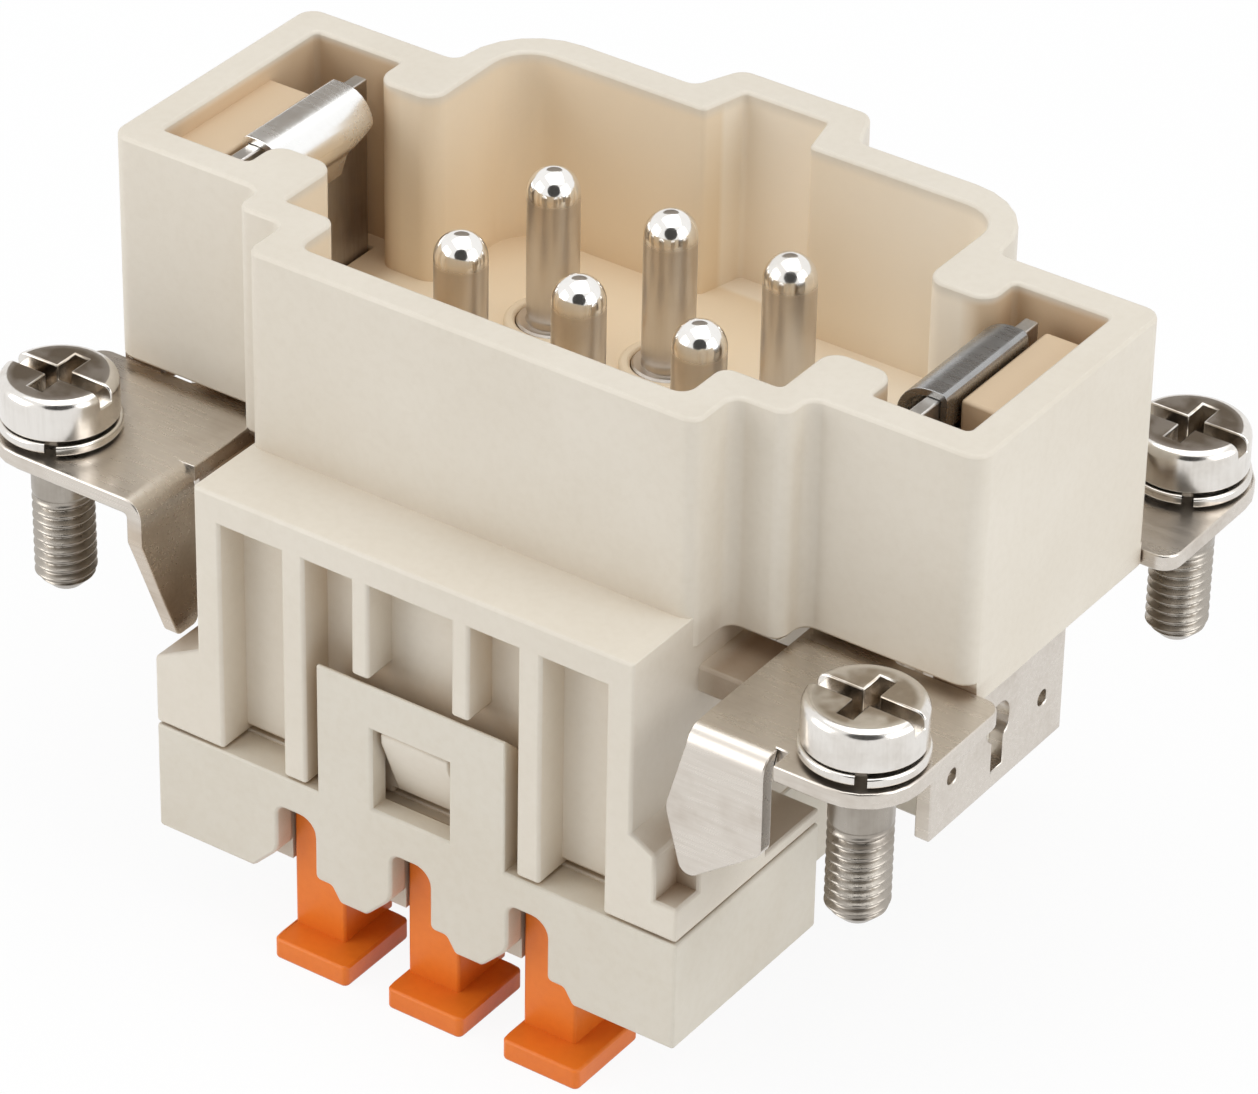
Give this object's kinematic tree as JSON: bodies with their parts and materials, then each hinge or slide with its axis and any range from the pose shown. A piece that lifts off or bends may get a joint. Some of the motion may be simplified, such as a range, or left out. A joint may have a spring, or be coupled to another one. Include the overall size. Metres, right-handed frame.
{
  "type": "heavy-duty connector insert",
  "caption": "Rectangular male connector insert with round pins in a shroud, earth blades, captive screws and spring wire clamps opened by push levers.",
  "frame": {"origin": "centre of the four fixing screws, on the underside of the earth plates", "axes": "+X along the length, -Y the front long side, +Z the way the pins point"},
  "size_m": [0.05, 0.0332, 0.0344],
  "materials": {
    "beige_moulding": "satin",
    "cover_moulding": "satin",
    "orange_moulding": "satin",
    "pin_plating": "polished silver",
    "copper_bar": "tinned copper alloy",
    "spring_steel": "bright",
    "tinned_sheet": "tinned",
    "nickel_steel": "nickel plated"
  },
  "bodies": {
    "insert": {"contact_carrier": "beige_moulding", "wire_cover": "cover_moulding", "pin_1": "pin_plating", "current_bar_1": "copper_bar", "clamp_spring_1": "spring_steel", "pin_2": "pin_plating", "current_bar_2": "copper_bar", "clamp_spring_2": "spring_steel", "pin_3": "pin_plating", "current_bar_3": "copper_bar", "clamp_spring_3": "spring_steel", "pin_4": "pin_plating", "current_bar_4": "copper_bar", "clamp_spring_4": "spring_steel", "pin_5": "pin_plating", "current_bar_5": "copper_bar", "clamp_spring_5": "spring_steel", "pin_6": "pin_plating", "current_bar_6": "copper_bar", "clamp_spring_6": "spring_steel", "earth_plate_left": "tinned_sheet", "earth_contact_left": "tinned_sheet", "earth_spring_left": "spring_steel", "earth_plate_right": "tinned_sheet", "earth_contact_right": "tinned_sheet", "earth_spring_right": "spring_steel", "lock_washer_1": "nickel_steel", "lock_washer_2": "nickel_steel", "lock_washer_3": "nickel_steel", "lock_washer_4": "nickel_steel"},
    "lever_1": {"release_lever_1": "orange_moulding"},
    "lever_2": {"release_lever_2": "orange_moulding"},
    "lever_3": {"release_lever_3": "orange_moulding"},
    "lever_4": {"release_lever_4": "orange_moulding"},
    "lever_5": {"release_lever_5": "orange_moulding"},
    "lever_6": {"release_lever_6": "orange_moulding"},
    "screw_1": {"mounting_screw_1": "nickel_steel"},
    "screw_2": {"mounting_screw_2": "nickel_steel"},
    "screw_3": {"mounting_screw_3": "nickel_steel"},
    "screw_4": {"mounting_screw_4": "nickel_steel"}
  },
  "joints": [
    {"name": "lever_1_push", "type": "slide", "parent": "insert", "child": "lever_1", "axis": [0, 0, 1], "range_m": [0, 0.002], "stiffness_N_per_m": 100, "springref_m": -0.002, "deforming": ["clamp_spring_1"]},
    {"name": "lever_2_push", "type": "slide", "parent": "insert", "child": "lever_2", "axis": [0, 0, 1], "range_m": [0, 0.002], "stiffness_N_per_m": 100, "springref_m": -0.002, "deforming": ["clamp_spring_2"]},
    {"name": "lever_3_push", "type": "slide", "parent": "insert", "child": "lever_3", "axis": [0, 0, 1], "range_m": [0, 0.002], "stiffness_N_per_m": 100, "springref_m": -0.002, "deforming": ["clamp_spring_3"]},
    {"name": "lever_4_push", "type": "slide", "parent": "insert", "child": "lever_4", "axis": [0, 0, 1], "range_m": [0, 0.002], "stiffness_N_per_m": 100, "springref_m": -0.002, "deforming": ["clamp_spring_4"]},
    {"name": "lever_5_push", "type": "slide", "parent": "insert", "child": "lever_5", "axis": [0, 0, 1], "range_m": [0, 0.002], "stiffness_N_per_m": 100, "springref_m": -0.002, "deforming": ["clamp_spring_5"]},
    {"name": "lever_6_push", "type": "slide", "parent": "insert", "child": "lever_6", "axis": [0, 0, 1], "range_m": [0, 0.002], "stiffness_N_per_m": 100, "springref_m": -0.002, "deforming": ["clamp_spring_6"]},
    {"name": "screw_1_turn", "type": "hinge", "parent": "insert", "child": "screw_1", "pos_m": [-0.022, -0.0135, 0], "axis": [0, 0, 1], "continuous": true},
    {"name": "screw_2_turn", "type": "hinge", "parent": "insert", "child": "screw_2", "pos_m": [0.022, -0.0135, 0], "axis": [0, 0, 1], "continuous": true},
    {"name": "screw_3_turn", "type": "hinge", "parent": "insert", "child": "screw_3", "pos_m": [0.022, 0.0135, 0], "axis": [0, 0, 1], "continuous": true},
    {"name": "screw_4_turn", "type": "hinge", "parent": "insert", "child": "screw_4", "pos_m": [-0.022, 0.0135, 0], "axis": [0, 0, 1], "continuous": true}
  ]
}
